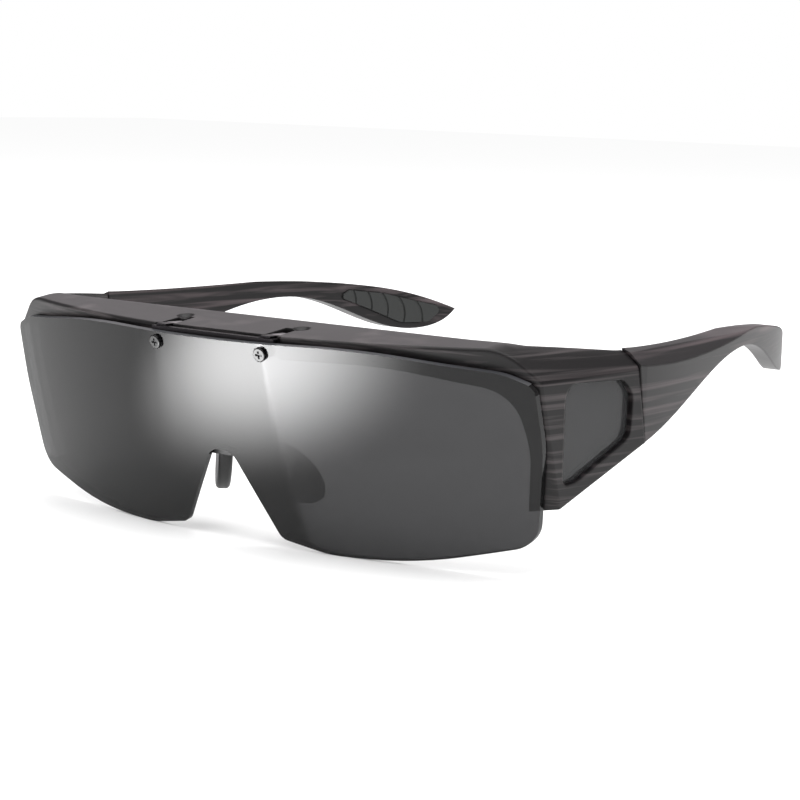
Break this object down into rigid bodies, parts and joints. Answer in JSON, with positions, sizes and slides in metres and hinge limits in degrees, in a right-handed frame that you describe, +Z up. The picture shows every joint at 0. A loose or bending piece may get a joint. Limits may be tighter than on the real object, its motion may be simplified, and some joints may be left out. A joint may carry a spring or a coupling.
{
  "type": "flip-up fit-over sunglasses",
  "caption": "Fit-over sunglasses with a wrap-round front, a one-piece flip-up shield lens on a metal yoke, tinted side windows and folding temples.",
  "frame": {"origin": "centre of the object's box at its lowest level, which is the shield's lowest edge", "axes": "+X to the wearer's left, +Y from the front back to the ears, +Z up, with the temples level"},
  "size_m": [0.1524, 0.1496, 0.0462],
  "materials": {
    "frame_plastic": "satin gloss, dark with faint lighter streaks",
    "temple_plastic": "satin gloss, long lighter grain streaks",
    "shield_lens": "polished dark grey polarised sheet",
    "window_tint": "polished grey tint",
    "retainer_plastic": "matt black",
    "yoke_metal": "satin nickel",
    "blackened_screw": "black oxide",
    "black_washer": "matt black",
    "pin_steel": "plain steel",
    "hinge_metal": "satin nickel silver",
    "pad_rubber": "matt black soft rubber",
    "tip_rubber": "matt charcoal rubber"
  },
  "bodies": {
    "frame": {"front_frame": "frame_plastic", "nose_pad": "pad_rubber", "side_window_left": "window_tint", "side_window_right": "window_tint", "window_retainer_left": "retainer_plastic", "window_retainer_right": "retainer_plastic", "pivot_pin_left": "pin_steel", "pivot_pin_right": "pin_steel", "detent_spring_left": "pin_steel", "detent_spring_right": "pin_steel", "front_hinge_left": "hinge_metal", "front_hinge_right": "hinge_metal", "hinge_screw_left": "hinge_metal", "hinge_screw_right": "hinge_metal"},
    "shield": {"flip_yoke": "yoke_metal", "flip_shield": "shield_lens", "shield_screws": "blackened_screw", "shield_washers": "black_washer", "shield_nuts": "blackened_screw"},
    "temple_left": {"temple_left": "temple_plastic", "temple_hinge_left": "hinge_metal", "tip_pad_left": "tip_rubber"},
    "temple_right": {"temple_right": "temple_plastic", "temple_hinge_right": "hinge_metal", "tip_pad_right": "tip_rubber"}
  },
  "joints": [
    {"name": "flip_hinge", "type": "hinge", "parent": "frame", "child": "shield", "pos_m": [0, -0.06562, 0.04334], "axis": [-1, 0, 0], "range_deg": [0, 90]},
    {"name": "temple_left_fold", "type": "hinge", "parent": "frame", "child": "temple_left", "pos_m": [0.0718, -0.0283, 0.03554], "axis": [0, 0, 1], "range_deg": [0, 90]},
    {"name": "temple_right_fold", "type": "hinge", "parent": "frame", "child": "temple_right", "pos_m": [-0.0718, -0.0283, 0.03554], "axis": [0, 0, -1], "range_deg": [0, 78]}
  ]
}
